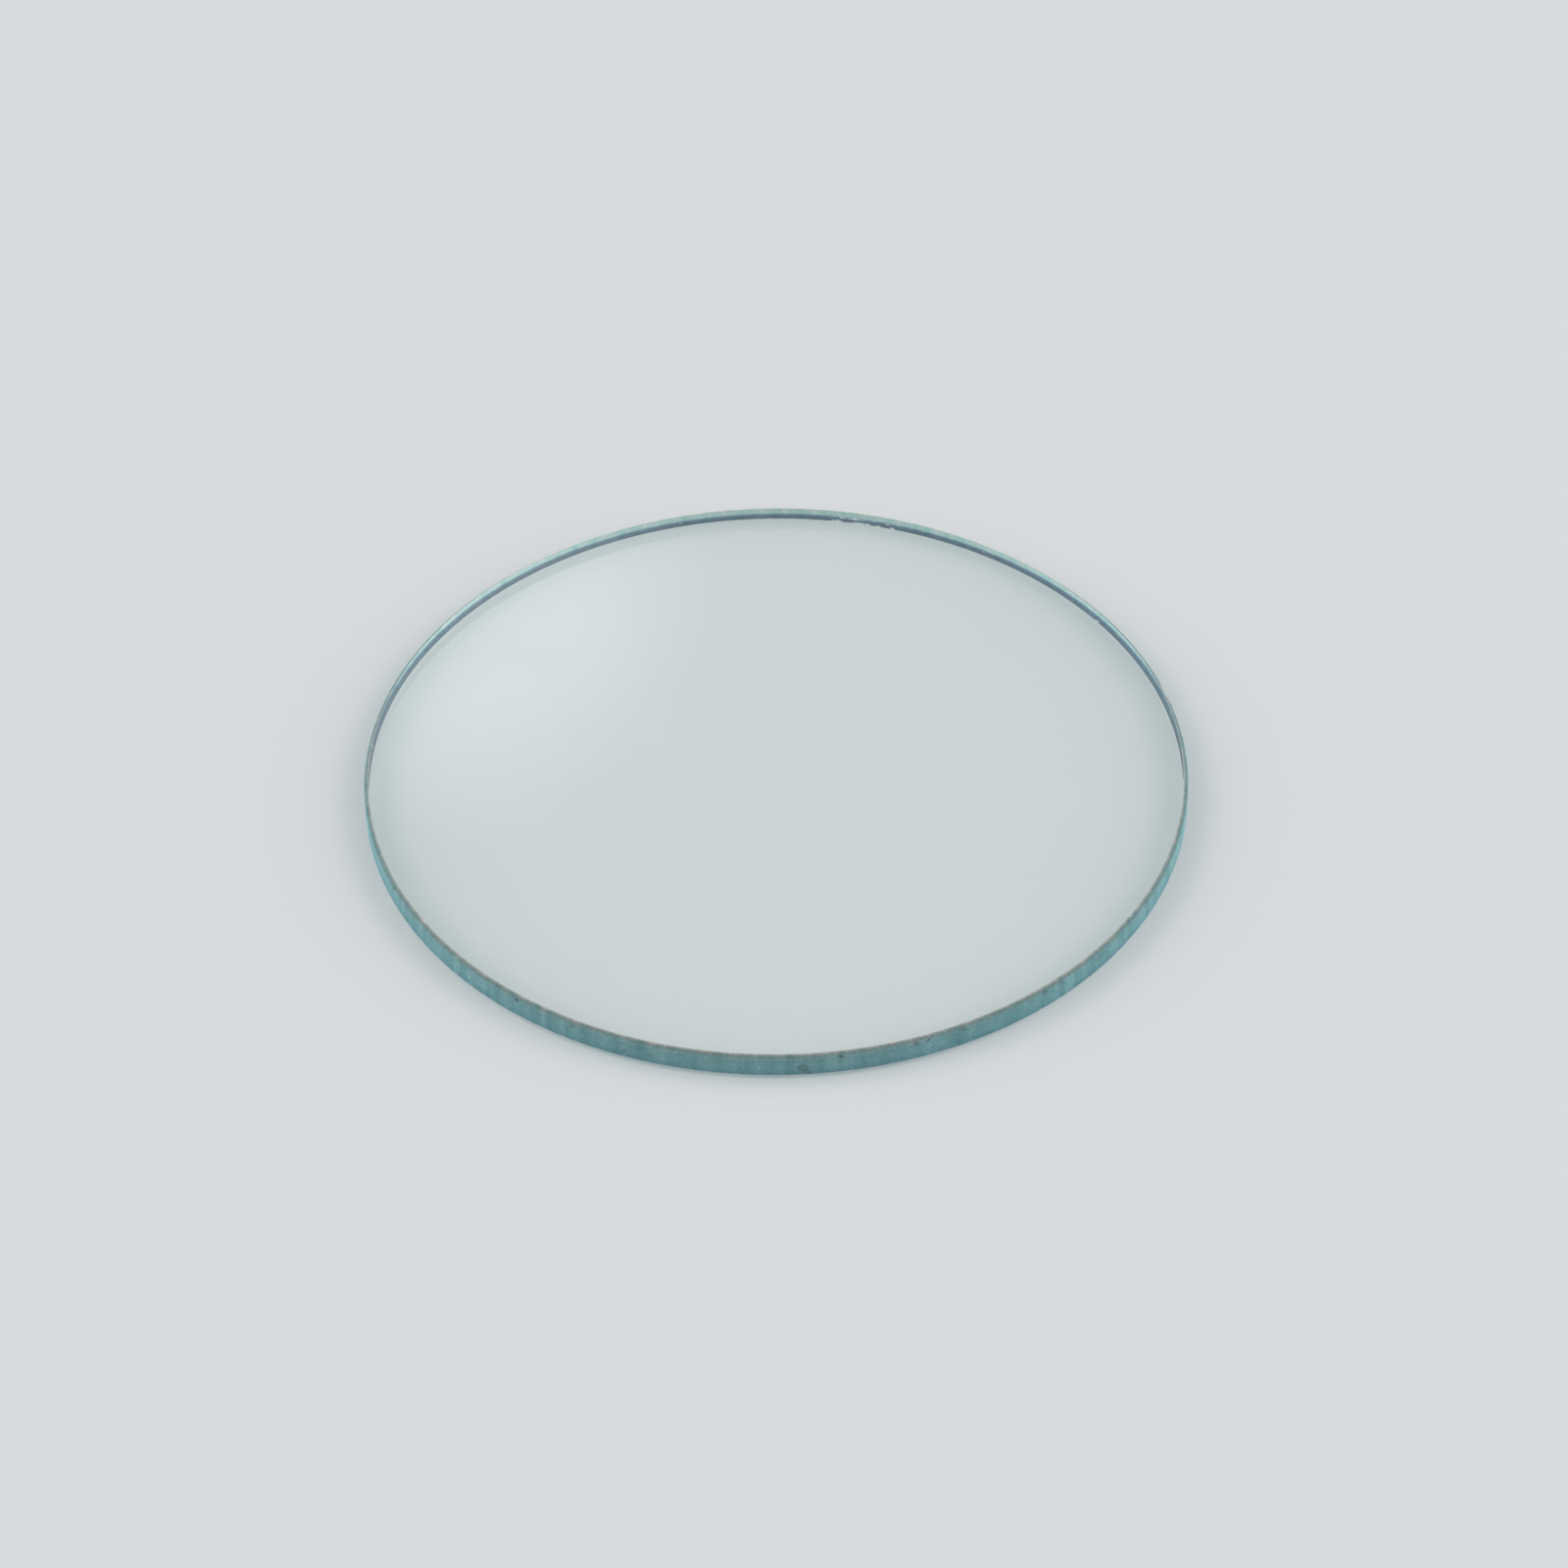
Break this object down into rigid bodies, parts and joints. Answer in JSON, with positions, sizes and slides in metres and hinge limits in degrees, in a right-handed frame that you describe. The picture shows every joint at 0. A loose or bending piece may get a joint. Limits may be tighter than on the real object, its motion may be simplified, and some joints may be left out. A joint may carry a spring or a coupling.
{
  "type": "flat watch crystal",
  "caption": "Flat round watch crystal of mineral glass, a thin clear disc with a ground rim and fine bevels, which covers and protects a watch dial.",
  "frame": {"origin": "centre of the underside, the face that rests on the seat in the watch case", "axes": "+Z along the disc's axis, out of the watch to the wearer's eye; +X and +Y are any two square directions in the underside, because the disc is round"},
  "size_m": [0.0295, 0.0294, 0.001],
  "materials": {
    "glass": "faces polished, rim and bevels ground to a satin, faint green tint seen in the rim"
  },
  "bodies": {
    "root": {"crystal": "glass"}
  },
  "joints": []
}
